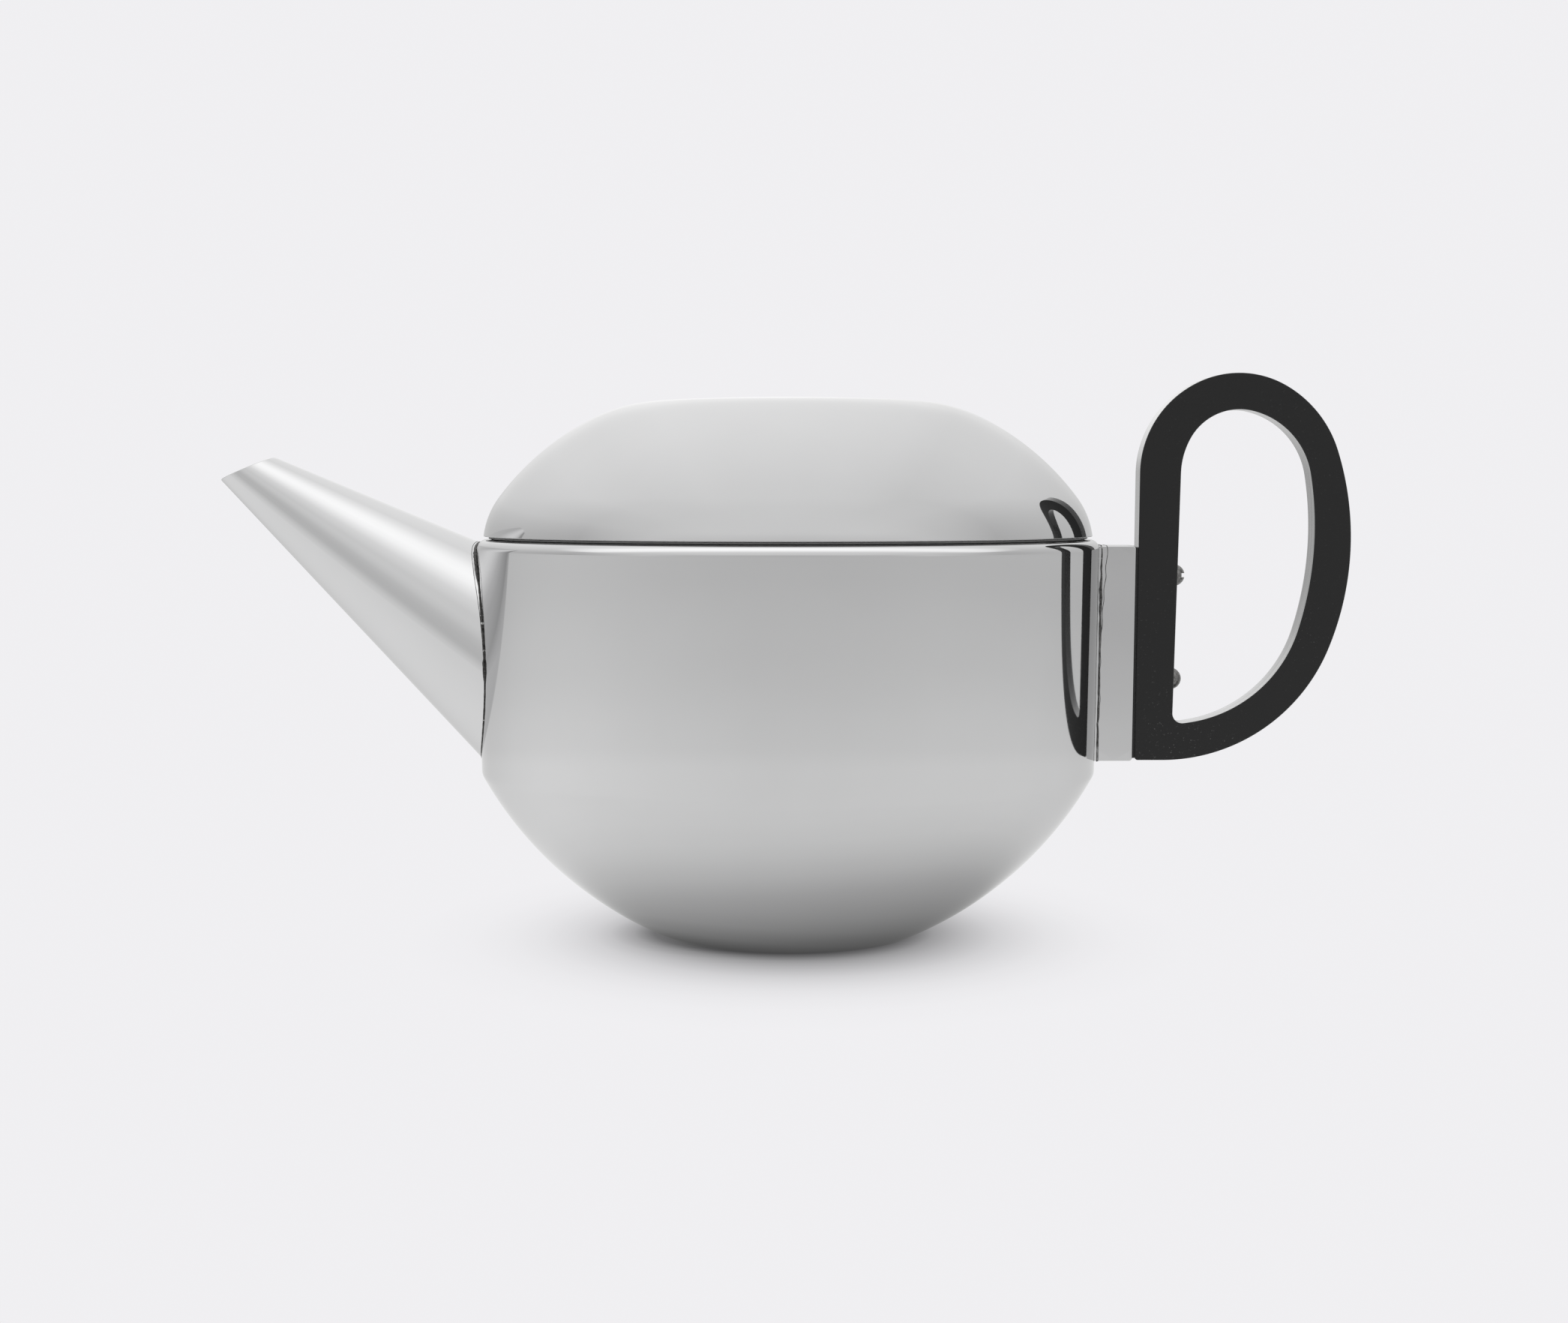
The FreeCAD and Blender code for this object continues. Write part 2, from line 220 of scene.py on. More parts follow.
def body_outline():
    outer = offset_points(vessel_stations(0), 0)
    inner = [p for p in offset_points(vessel_stations(WALL), 0) if p[1] > FLOOR_HEIGHT]
    rim = outer[-1]
    lip = rim[0] - RIM_WIDTH
    edge = moved(outer[0], BOWL_RISE, FOOT_EDGE)
    foot = [(0, 0), (FOOT_RADIUS * 0.5, 0), (FOOT_RADIUS - FOOT_EDGE, 0), (edge[0] - 0.12, edge[1] * 0.45)]
    top = [(lip + 0.15, rim[1]), (lip, rim[1] - 0.15), (lip, rim[1] - WALL)]
    floor_edge = inner[0][0]
    floor = [(floor_edge - 0.8, FLOOR_HEIGHT), (0, FLOOR_HEIGHT)]
    return foot + [edge] + outer[1:] + top + inner[::-1] + floor


def outer_radius(z):
    """Radius of the vessel's outer skin at height z."""
    points = offset_points(vessel_stations(0), 0)
    for (ra, za), (rb, zb) in zip(points, points[1:]):
        if za <= z <= zb and zb > za:
            return ra + (rb - ra) * (z - za) / (zb - za)
    return points[-1][0] if z > points[-1][1] else points[0][0]


# ---- spout ----
def spout_axis():
    slope = math.radians(SPOUT_SLOPE)
    return Vector((math.cos(slope), 0, -math.sin(slope)))


def generatrix(turn, inset):
    """Apex and direction of the cone's line at an angle round the axis, for a cone inset from the skin."""
    half = math.radians(SPOUT_HALF_ANGLE)
    axis = spout_axis()
    side = Vector((0, -1, 0))
    above = axis.cross(side) * -1
    apex = SPOUT_APEX + axis * (inset / math.sin(half))
    outward = side * math.cos(turn) + above * math.sin(turn)
    return apex, axis * math.cos(half) + outward * math.sin(half)


def mouth_distance(apex, ray):
    slope = math.radians(MOUTH_SLOPE)
    normal = Vector((-math.sin(slope), 0, math.cos(slope)))
    return (SPOUT_TIP - apex).dot(normal) / ray.dot(normal)


def wall_distance(apex, ray, profile):
    """Distance along the ray to the vessel's skin, by halving."""
    near, far = ROOT_SEARCH
    for _ in range(HALVINGS):
        middle = (near + far) / 2
        p = apex + ray * middle
        if math.hypot(p.x, p.y) < profile(p.z) and p.x > SPOUT_SIDE:
            far = middle
        else:
            near = middle
    return (near + far) / 2


def profile_lookup():
    points = offset_points(vessel_stations(0), 0)
    step = 0.05
    table = {}
    for (ra, za), (rb, zb) in zip(points, points[1:]):
        for k in range(math.floor(za / step), math.ceil(zb / step) + 1):
            share = 0 if zb <= za else min(1, max(0, (k * step - za) / (zb - za)))
            table[k] = ra + (rb - ra) * share
    highest = max(table)

    def radius(z):
        k = z / step
        low = min(max(0, math.floor(k)), highest - 1)
        return table[low] + (table[low + 1] - table[low]) * (k - low)

    return radius


def spout_piece(profile, around=320, lengthwise=60):
    """Rows run from the root, up the outside, over the lip and back down the inside."""
    points = []
    for k in range(around):
        turn = math.tau * k / around
        column = []
        for inset in (0, SPOUT_WALL):
            apex, ray = generatrix(turn, inset)
            mouth = mouth_distance(apex, ray)
            root = wall_distance(apex, ray, profile) - ROOT_OVERLAP
            edge = mouth + LIP_EDGE
            side = [apex + ray * (root + (edge - root) * j / lengthwise) for j in range(lengthwise + 1)]
            rim = apex + ray * mouth
            column.append((side, rim))
        (outside, outer_rim), (inside, inner_rim) = column
        across = (inner_rim - outer_rim).normalized() * LIP_EDGE
        points += outside + [outer_rim + across, inner_rim - across] + inside[::-1]
    per_column = len(points) // around
    return mesh_object("spout_tube", points, grid_faces(around, per_column, True, True), 25)


def between(stops, place):
    """Level at a place, on straight lines between (place, level) stops."""
    for (low, first), (high, last) in zip(stops, stops[1:]):
        if place <= high:
            return first + (last - first) * max(0, place - low) / (high - low)
    return stops[-1][1]


def bead(name, path, widths, height, sides=10, seed=0.0):
    """Irregular closed bead along a loop of points: each section is a flattened, dented round."""
    count = len(path)
    points = []
    for k in range(count):
        here, before, after = path[k], path[k - 1], path[(k + 1) % count]
        tangent = (after - before).normalized()
        outward = Vector((here.x, here.y, 0)).normalized()
        side = tangent.cross(outward).normalized()
        outward = side.cross(tangent).normalized()
        for j in range(sides):
            turn = math.tau * j / sides
            dent = 1 + 0.28 * noise.noise(Vector((k * 0.21, j * 0.9, seed)))
            reach = side * math.cos(turn) * widths[k] + outward * math.sin(turn) * height[k]
            points.append(here + reach * dent)
    return mesh_object(name, points, grid_faces(count, sides, True, True), 60)


def spout_seam_path(profile, lift, count=720):
    """Loop on the spout's skin that stays lift(height share) above the side wall."""
    rays = [generatrix(math.tau * k / count, 0) for k in range(count)]
    reaches = [wall_distance(apex, ray, profile) for apex, ray in rays]
    heights = [(apex + ray * reach).z for (apex, ray), reach in zip(rays, reaches)]
    low, high = min(heights), max(heights)
    shares = [(z - low) / (high - low) for z in heights]
    path = [apex + ray * (reach - lift(share)) for (apex, ray), reach, share in zip(rays, reaches, shares)]
    return path, shares


def spout_bead(profile):
    path, shares = spout_seam_path(profile, lambda share: between(SEAM_SWELL, share))
    heights = []
    for k, share in enumerate(shares):
        slow = noise.noise(Vector((k * 0.045, 3.1, 0.7)))
        quick = noise.noise(Vector((k * 0.16, 8.1, 0.2)))
        lump = slow * 0.5 + quick * 0.5
        heights.append(between(SEAM_SWELL, share) * (1 + 0.5 * lump))
    return bead("spout_bead", path, [0.1 + 0.5 * h for h in heights], heights)


def spout_bead_edge(profile):
    """Fine edge of the brazing, clear of the bead near the top only."""
    path, shares = spout_seam_path(profile, lambda share: between(SEAM_OUTLINE, share))
    return bead("spout_bead_edge", path, [0.07] * len(path), [0.07] * len(path), 6, 2.0)


# ---- handle and bracket ----
def handle_stations():
    start = HANDLE_START
    flat_end = moved(start, 0, HANDLE_FLAT)
    stations = run_of_arcs(flat_end, 0, HANDLE_ARCS)
    top = stations[-1][:2]
    corner = rounded_corner(top, start, flat_end, HANDLE_CORNER)
    return (stations + straight_stations(top, corner[0][:2]) + corner
            + straight_stations(corner[-1][:2], flat_end))


def grip_stations():
    stations = run_of_arcs(GRIP_START, GRIP_RISE, GRIP_ARCS)
    top = stations[-1][:2]
    corner = rounded_corner(top, GRIP_CORNER, GRIP_START, GRIP_CORNER_RADIUS)
    return (stations + straight_stations(top, corner[0][:2]) + corner
            + straight_stations(corner[-1][:2], GRIP_START))


def spine():
    """The handle's straight side: its low and high end."""
    return HANDLE_START, run_of_arcs(moved(HANDLE_START, 0, HANDLE_FLAT), 0, HANDLE_ARCS)[-1][:2]


def on_spine(z, away):
    low, high = spine()
    share = (z - low[1]) / (high[1] - low[1])
    return moved((low[0] + (high[0] - low[0]) * share, z), heading_between(low, high) - 90, away)


def bracket_stations():
    low, high = BRACKET_SPAN
    corners = [(BRACKET_ROOT[0], low), on_spine(low, -PAD_THICKNESS), on_spine(high, -PAD_THICKNESS),
               (BRACKET_ROOT[1], high)]
    radii = (0.05, BRACKET_CORNER, BRACKET_CORNER, 0.05)
    arcs = []
    for k, radius in enumerate(radii):
        arcs.append(rounded_corner(corners[k - 1], corners[k], corners[(k + 1) % 4], radius))
    stations = []
    for k, arc in enumerate(arcs):
        stations += arc + straight_stations(arc[-1][:2], arcs[(k + 1) % 4][0][:2])
    return stations


def edge_rows(inset_sign, width, edge, steps=4):
    """(inset, y) pairs round a bar's edge from the front face over the side to the back face."""
    half = width / 2
    rows = []
    for k in range(steps + 1):
        turn = math.pi / 2 * k / steps
        rows.append((edge * (1 - math.sin(turn)), -half + edge * (1 - math.cos(turn))))
    rows += [(inset, -y) for inset, y in reversed(rows)]
    return [(inset * inset_sign, y) for inset, y in rows]


def slab(name, outer, inner, width, edge):
    """Flat-faced bar with rounded edges, between an outer outline and an optional opening."""
    points, faces, rings = [], [], []
    for stations, sign in ((outer, 1), (inner, -1)):
        if stations is None:
            continue
        rows = edge_rows(sign, width, edge)
        base = len(points)
        for inset, y in rows:
            points += [(x, y, z) for x, z in offset_points(stations, inset)]
        count = len(stations)
        grid = grid_faces(len(rows), count, False, True)
        if sign < 0:
            grid = [tuple(reversed(f)) for f in grid]
        faces += [tuple(base + i for i in f) for f in grid]
        rings.append((base, base + (len(rows) - 1) * count, count))
    made = mesh_object(name, points, faces, 80)
    fill_faces(made, rings)
    made.modifiers.new("flat_faces", "WEIGHTED_NORMAL").keep_sharp = True
    apply_modifiers(made)
    return made


def fill_faces(made, rings):
    """Closes the front and back faces between the innermost rings."""
    bm = bmesh.new()
    bm.from_mesh(made.data)
    bm.verts.ensure_lookup_table()
    for side in (0, 1):
        edges = []
        for ring in rings:
            first, count = ring[side], ring[2]
            for k in range(count):
                pair = (bm.verts[first + k], bm.verts[first + (k + 1) % count])
                edges.append(bm.edges.get(pair) or bm.edges.new(pair))
        bmesh.ops.triangle_fill(bm, use_beauty=True, edges=edges)
    bmesh.ops.recalc_face_normals(bm, faces=bm.faces)
    for f in bm.faces:
        f.smooth = True
    bm.to_mesh(made.data)
    bm.free()


def bracket_loop(profile, offset, sway):
    """Loop round the bracket's foot, offset(height share) outside the vessel's skin."""
    low, high = BRACKET_SPAN
    half = HANDLE_WIDTH / 2
    corners = [(-half, low), (-half, high), (half, high), (half, low)]
    path, shares = [], []
    for k in range(4):
        (ya, za), (yb, zb) = corners[k], corners[(k + 1) % 4]
        count = max(2, round(math.hypot(yb - ya, zb - za) / 0.3))
        for j in range(count):
            y, z = ya + (yb - ya) * j / count, za + (zb - za) * j / count
            share = (z - low) / (high - low)
            wander = sway * noise.noise(Vector((len(path) * 0.11, 1.3, 5.0)))
            x = math.sqrt(profile(z) ** 2 - y * y) + offset(share) + wander
            path.append(Vector((x, y, z)))
            shares.append(share)
    return path, shares


def bracket_bead(profile):
    """Weld line round the foot of the bracket."""
    path, shares = bracket_loop(profile, lambda share: WELD_OFFSET, 0.12)
    heights = []
    for k, share in enumerate(shares):
        lump = noise.noise(Vector((k * 0.17, 6.3, 2.0)))
        heights.append(between(WELD_SWELL, share) * (1 + 0.45 * lump))
    return bead("bracket_bead", path, [0.16] * len(path), heights, seed=4.0)


def bracket_crack_painted_shade(profile):
    """Fine uneven raised line wide of the weld bead in the upper part, drawn dark in the braze colour as
    painted shade of an open crack.
    """
    path, _ = bracket_loop(profile, lambda share: between(CRACK_OFFSET, share), 0.3)
    return bead("bracket_crack_painted_shade", path, [0.07] * len(path), [0.085] * len(path), 6, 7.0)


# ---- materials ----
STEEL_TONE = 0.64
BRACKET_TONE = 0.575
EDGE_TINT = (0.84, 0.84, 0.84)


class Nodes:
    """Short calls for building a material, or another node tree."""

    def __init__(self, name=None, tree=None):
        self.tree = tree
        if name:
            self.material = bpy.data.materials.new(name)
            self.material.use_nodes = True
            self.tree = self.material.node_tree
            self.shader = self.tree.nodes["Principled BSDF"]

    def add(self, kind, **settings):
        made = self.tree.nodes.new(kind)
        for key, value in settings.items():
            if key in made.inputs.keys():
                made.inputs[key].default_value = value
            else:
                setattr(made, key, value)
        return made

    def link(self, source, target):
        self.tree.links.new(source, target)

    def coordinates(self, scale=(1, 1, 1), rotation=(0, 0, 0)):
        where = self.add("ShaderNodeTexCoord")
        mapping = self.add("ShaderNodeMapping")
        mapping.inputs["Scale"].default_value = scale
        mapping.inputs["Rotation"].default_value = rotation
        self.link(where.outputs["Object"], mapping.inputs["Vector"])
        return mapping.outputs["Vector"]

    def noise(self, vector, scale, detail=3.0, roughness=0.5):
        made = self.add("ShaderNodeTexNoise", Scale=scale, Detail=detail, Roughness=roughness)
        self.link(vector, made.inputs["Vector"])
        return made.outputs["Fac"]

    def ramp(self, value, low, high, first=0.0, last=1.0):
        made = self.add("ShaderNodeMapRange")
        for key, number in (("From Min", low), ("From Max", high), ("To Min", first), ("To Max", last)):
            made.inputs[key].default_value = number
        self.link(value, made.inputs["Value"])
        return made.outputs["Result"]

    def math(self, operation, a, b):
        made = self.add("ShaderNodeMath", operation=operation)
        for socket, value in zip(made.inputs, (a, b)):
            if isinstance(value, (int, float)):
                socket.default_value = value
            else:
                self.link(value, socket)
        return made.outputs["Value"]

    def length(self, vector):
        made = self.add("ShaderNodeVectorMath", operation="LENGTH")
        self.link(vector, made.inputs[0])
        return made.outputs["Value"]

    def curve(self, value, stops):
        """Smooth curve through (place, level) stops, for a level of up to 2."""
        first, last = stops[0][0], stops[-1][0]
        share = self.ramp(value, first, last)
        made = self.add("ShaderNodeValToRGB")
        elements = made.color_ramp.elements
        while len(elements) < len(stops):
            elements.new(0.5)
        for element, (place, level) in zip(elements, stops):
            element.position = (place - first) / (last - first)
            element.color = (level / 2, level / 2, level / 2, 1)
        self.link(share, made.inputs["Fac"])
        return self.math("MULTIPLY", made.outputs["Color"], 2.0)

    def blend(self, factor, first, second):
        made = self.add("ShaderNodeMix", data_type="FLOAT")
        self.link(factor, made.inputs["Factor"])
        for socket, value in ((made.inputs[2], first), (made.inputs[3], second)):
            if isinstance(value, float):
                socket.default_value = value
            else:
                self.link(value, socket)
        return made.outputs[0]

    def mixed(self, factor, first, second):
        made = self.add("ShaderNodeMix", data_type="RGBA")
        self.link(factor, made.inputs["Factor"])
        for socket, value in ((made.inputs[6], first), (made.inputs[7], second)):
            if isinstance(value, tuple):
                socket.default_value = (*value, 1)
            else:
                self.link(value, socket)
        return made.outputs[2]

    def bump(self, height, strength, distance, normal=None):
        made = self.add("ShaderNodeBump", Strength=strength, Distance=distance)
        self.link(height, made.inputs["Height"])
        if normal:
            self.link(normal, made.inputs["Normal"])
        return made.outputs["Normal"]

    def set(self, **values):
        for key, value in values.items():
            socket = self.shader.inputs[key.replace("_", " ")]
            if isinstance(value, bpy.types.NodeSocket):
                self.link(value, socket)
            else:
                socket.default_value = value if isinstance(value, (int, float)) else (*value, 1)
        return self.material


def polished_steel(name, tone, grain, turn=(0, 0, 0)):
    """Mirror-polished steel: slow waves of the sheet, fine polishing lines and faint wiping marks."""
    n = Nodes(name)
    place = n.coordinates()
    lines = n.noise(n.coordinates(scale=grain, rotation=turn), 900, 2)
    smears = n.noise(place, 26, 4, 0.6)
    waves = n.noise(place, 11, 1)
    roughness = n.math("ADD", n.ramp(smears, 0.45, 0.8, 0.022, 0.075), n.ramp(lines, 0.3, 0.7, 0, 0.014))
    clean = (tone, tone, tone * 1.006)
    wiped = (tone * 0.97, tone * 0.97, tone * 0.975)
    colour = n.mixed(n.ramp(smears, 0.3, 0.8), clean, wiped)
    normal = n.bump(waves, 1.0, 0.00002)
    normal = n.bump(lines, 0.012, 0.00002, normal)
    return n.set(Base_Color=colour, Metallic=1.0, Roughness=roughness, Normal=normal, Specular_Tint=EDGE_TINT)


def turned_steel(name, tone, roughness):
    """Plain turned steel with fine rings."""
    n = Nodes(name)
    lines = n.noise(n.coordinates(scale=(0.05, 0.05, 1)), 2500, 2)
    rings = n.ramp(lines, 0.3, 0.7, roughness * 0.8, roughness * 1.3)
    return n.set(Base_Color=(tone, tone, tone), Metallic=1.0, Roughness=rings,
                 Normal=n.bump(lines, 0.1, 0.00003))


def satin_inside():
    """Blasted and rinsed inner face: even satin with faint drying marks."""
    n = Nodes("satin_inside")
    place = n.coordinates()
    grain = n.noise(place, 1800, 3)
    marks = n.noise(place, 30, 4, 0.6)
    colour = n.mixed(n.ramp(marks, 0.35, 0.7), (0.8, 0.8, 0.8), (0.73, 0.73, 0.725))
    return n.set(Base_Color=colour, Metallic=1.0, Roughness=n.ramp(marks, 0.3, 0.75, 0.3, 0.42),
                 Normal=n.bump(grain, 0.15, 0.00003))


def line_inside(made, material, looks_in):
    """Second material on the faces that looks_in(centre, normal) picks, in metres."""
    made.data.materials.append(material)
    for face in made.data.polygons:
        if looks_in(face.center, face.normal):
            face.material_index = 1


def in_vessel(centre, normal):
    """Looks at the upright axis, up from the vessel's floor or down from the lid's ceiling."""
    across = Vector((centre.x, centre.y, 0)).normalized()
    floor = normal.z > 0.9 and centre.z < 0.5 * LID_EDGE[1] * MM
    ceiling = normal.z < -0.5 and centre.z > LID_EDGE[1] * MM
    return normal.dot(across) < -0.05 or floor or ceiling


def in_spout(centre, normal):
    """Looks at the spout's own axis."""
    reach = centre - SPOUT_APEX * MM
    across = reach - spout_axis() * reach.dot(spout_axis())
    skin = reach.length * math.sin(math.radians(SPOUT_HALF_ANGLE))
    return normal.dot(across) < 0 and across.length < skin - 0.5 * SPOUT_WALL * MM


def braze_metal():
    """Dark oxidised bead with a few bright flecks."""
    n = Nodes("braze_metal")
    place = n.coordinates()
    blotch = n.noise(place, 900, 4, 0.7)
    flecks = n.ramp(n.noise(place, 700, 2), 0.66, 0.71)
    colour = n.mixed(n.ramp(blotch, 0.35, 0.7), (0.03, 0.029, 0.028), (0.16, 0.157, 0.152))
    colour = n.mixed(flecks, colour, (0.62, 0.62, 0.61))
    return n.set(Base_Color=colour, Metallic=0.8, Roughness=n.ramp(blotch, 0.3, 0.7, 0.35, 0.65),
                 Normal=n.bump(blotch, 0.6, 0.0001))


def satin_black():
    """Satin black handle: grained flat faces with dust and hairline scratches, smoother milled sides."""
    n = Nodes("satin_black")
    place = n.coordinates()
    facing = n.add("ShaderNodeSeparateXYZ")
    n.link(n.add("ShaderNodeTexCoord").outputs["Normal"], facing.inputs[0])
    flat = n.ramp(n.math("ABSOLUTE", facing.outputs["Y"], 0), 0.55, 0.95)
    grain = n.noise(place, 3200, 2)
    dust = n.ramp(n.noise(place, 1700, 2, 0.6), 0.645, 0.735)
    patches = n.ramp(n.noise(place, 45, 3), 0.4, 0.6)
    scratch_place = n.coordinates(scale=(0.12, 1, 1), rotation=(0, 0.7, 0))
    scratches = n.ramp(n.noise(scratch_place, 420, 1), 0.775, 0.79)
    low = n.add("ShaderNodeSeparateXYZ")
    n.link(place, low.inputs[0])
    worn = n.ramp(low.outputs["Z"], 0.085, 0.05, 0.25, 1.0)
    specks = n.math("MULTIPLY", dust, n.math("MULTIPLY", patches, worn))
    marks = n.math("MAXIMUM", n.math("MULTIPLY", specks, 0.8), n.math("MULTIPLY", scratches, 0.4))
    colour = n.mixed(marks, (0.0055, 0.0055, 0.0057), (0.1, 0.1, 0.1))
    mill = n.noise(n.coordinates(scale=(0.02, 1, 0.02)), 1100, 3, 0.6)
    side = n.ramp(mill, 0.35, 0.65, 0.1, 0.2)
    face = n.ramp(grain, 0.3, 0.7, 0.3, 0.42)
    normal = n.bump(n.blend(flat, mill, grain), 0.2, 0.00002)
    gloss = n.math("MULTIPLY", n.ramp(mill, 0.35, 0.65, 0.45, 1.0), n.ramp(flat, 0, 1, 1, 0))
    return n.set(Base_Color=colour, Roughness=n.blend(flat, side, face), Normal=normal,
                 Specular_IOR_Level=0.36, Coat_Weight=gloss, Coat_Roughness=0.1)


def soft_rubber(name, tone):
    n = Nodes(name)
    grain = n.noise(n.coordinates(), 2200, 3)
    colour = n.mixed(grain, (tone * 0.8,) * 3, (tone * 1.2,) * 3)
    return n.set(Base_Color=colour, Roughness=n.ramp(grain, 0.2, 0.8, 0.5, 0.75),
                 Normal=n.bump(grain, 0.2, 0.00003))


def dull_screw():
    """Handled steel screw: dark and scuffed patches at random over the whole screw."""
    n = Nodes("dull_screw")
    place = n.coordinates()
    blotch = n.noise(place, 1300, 4, 0.65)
    colour = n.mixed(n.ramp(blotch, 0.3, 0.7), (0.09, 0.088, 0.085), (0.34, 0.335, 0.33))
    return n.set(Base_Color=colour, Metallic=1.0, Roughness=n.ramp(blotch, 0.3, 0.7, 0.32, 0.55),
                 Normal=n.bump(blotch, 0.35, 0.00006))


# ---- stage ----
BACKDROP = 0.871
BACKDROP_TINT = (1.0, 0.993, 1.015)
NEUTRAL = (1.0, 1.0, 1.0)
# (place, level) curves. Distances on the floor are metres; in the room the place is a share of the direction.
# A shadow has its own place: x and y in millimetres, and how much it is squeezed along x. SHADOW_SEEN,
# SHADOW_MIRRORED and FLOOR_FAR hold tones that other scripts read from the photograph.
# the floor glows by itself: these curves are its painted shadow round the foot, one for the camera and one
# for the metal
SHADOW_SEEN_PLACE = (2.0, 0.0, 1.26)
SHADOW_SEEN = [(0.0, 0.1), (0.03, 0.12), (0.034, 0.19), (0.038, 0.285), (0.042, 0.39), (0.054, 0.603),
               (0.062, 0.736), (0.07, 0.825), (0.078, 0.896), (0.088, 0.948), (0.1, 0.982), (0.12, 1.0)]
# painted contact shadow at the foot's edge
CONTACT_PLACE = (-4.0, 0.0, 1.0)
CONTACT = [(0.029, 0.45), (0.034, 0.78), (0.04, 0.96), (0.046, 1.0)]
SHADOW_MIRRORED_PLACE = (5.0, -8.0, 0.9)
SHADOW_MIRRORED = [(0.0, 0.1), (0.02, 0.2), (0.026, 0.285), (0.034, 0.422), (0.046, 0.597), (0.054, 0.751),
                   (0.062, 0.866), (0.068, 0.93), (0.078, 0.98), (0.088, 1.0)]
# painted dimming of the floor far away and painted brightening towards its sides, most to the left, seen only
# in the metal
FLOOR_FAR = [(0.0, 0.99), (0.42, 0.99), (0.47, 0.935), (0.57, 0.91), (0.68, 0.87), (0.8, 0.84),
             (0.95, 0.825), (1.4, 0.775), (1.75, 0.765), (2.4, 0.775), (4.0, 0.75)]
FLOOR_SIDE = [(-1.0, 1.15), (-0.84, 1.09), (-0.67, 1.05), (-0.45, 1.02), (-0.2, 1.0), (0.3, 1.0), (1.0, 1.03)]
ROOM_DEPTH = [(-1.0, 0.82), (-0.93, 0.86), (-0.88, 0.88), (-0.5, 0.9), (-0.17, 0.95), (0.0, 0.99),
              (0.3, 1.06), (0.6, 1.13), (0.85, 1.19), (0.94, 1.22), (1.0, 1.1)]
ROOM_FRONT = [(-1.0, 0.0), (-0.8, 0.0), (-0.1, 1.0), (1.0, 1.0)]
ROOM_LOW_FRONT = [(-0.8, 1.0), (-0.6, 0.0)]
ROOM_LOW = [(0.0, 0.77), (0.1, 0.79), (0.21, 0.85), (0.3, 0.94), (0.4, 1.0)]
ROOM_TILT = [(-1.0, 0.6), (-0.96, 0.69), (-0.9, 0.8), (-0.84, 0.84), (-0.7, 0.93), (-0.55, 0.95),
             (-0.35, 1.0), (0.0, 1.0), (0.2, 0.98), (0.35, 0.94), (0.47, 0.885), (0.6, 0.87), (0.7, 0.85),
             (0.84, 0.76), (0.96, 0.66), (1.0, 0.62)]
SOFTBOX_ENDS = [(0.0, 0.0), (0.12, 0.8), (0.25, 1.0), (0.75, 1.0), (0.88, 0.8), (1.0, 0.0)]
SOFTBOX_FADE = [(0.0, 0.0), (0.2, 0.25), (0.4, 0.88), (0.5, 1.0), (0.6, 0.9), (0.8, 0.35), (1.0, 0.0)]
# the bank in metres, the floor and camera in millimetres and degrees
BANK_PLACE = (0, -0.3, 1.05)
BANK_TARGET = (0, 0, 0.08)
BANK_SIZE = (5.0, 1.7)
BANK_RADIANCE = 0.57
FLOOR_RADIUS = 6000.0

CAMERA_PLACE = Vector((-0.97, -648.98, 109.49))
CAMERA_PITCH = 3.7425
FOCAL_LENGTH = 60.73


def make_camera():
    data = bpy.data.cameras.new("camera")
    data.sensor_width = 36
    data.lens = FOCAL_LENGTH
    data.clip_start = 0.01
    camera = bpy.data.objects.new("camera", data)
    bpy.context.scene.collection.objects.link(camera)
    camera.location = CAMERA_PLACE * MM
    camera.rotation_euler = (math.radians(90 - CAMERA_PITCH), 0, 0)
    bpy.context.scene.camera = camera


def make_floor():
    """Pale paper that glows by itself: a painted soft shadow round the foot, and painted dimming far in
    front, where only metal sees it.
    """
    count = 96
    rim = [math.tau * k / count for k in range(count)]
    points = [(FLOOR_RADIUS * math.cos(turn), FLOOR_RADIUS * math.sin(turn), 0) for turn in rim]
    made = mesh_object("floor", points, [tuple(range(count))])
    n = Nodes("floor_paper")
    place = n.add("ShaderNodeTexCoord").outputs["Object"]
    distance = n.length(place)
    across = n.add("ShaderNodeSeparateXYZ")
    n.link(place, across.inputs[0])
    side = n.curve(n.math("DIVIDE", across.outputs["X"], distance), FLOOR_SIDE)
    room = n.math("MULTIPLY", n.math("MULTIPLY", n.curve(distance, FLOOR_FAR), side), BACKDROP)
    shades = []
    ovals = [(SHADOW_SEEN_PLACE, SHADOW_SEEN), (SHADOW_MIRRORED_PLACE, SHADOW_MIRRORED),
             (CONTACT_PLACE, CONTACT)]
    for (x, y, squeeze), shadow in ovals:
        oval = n.add("ShaderNodeMapping")
        oval.inputs["Location"].default_value = (-x * squeeze * MM, -y * MM, 0)
        oval.inputs["Scale"].default_value = (squeeze, 1, 0)
        n.link(place, oval.inputs["Vector"])
        shades.append(n.curve(n.length(oval.outputs["Vector"]), shadow))
    seen_shade, mirrored_shade, contact = shades
    # painted shadow: the glow is darkened by the shadow curves, not by anything standing in a lamp's way
    seen = n.math("MULTIPLY", n.math("MULTIPLY", seen_shade, contact), BACKDROP)
    mirrored = n.math("MULTIPLY", n.math("MULTIPLY", mirrored_shade, contact), room)
    path = n.add("ShaderNodeLightPath")
    glow = n.add("ShaderNodeEmission")
    tint = n.mixed(path.outputs["Is Camera Ray"], NEUTRAL, BACKDROP_TINT)
    n.link(tint, glow.inputs["Color"])
    n.link(n.blend(path.outputs["Is Camera Ray"], mirrored, seen), glow.inputs["Strength"])
    n.link(glow.outputs[0], n.tree.nodes["Material Output"].inputs["Surface"])
    made.data.materials.append(n.material)


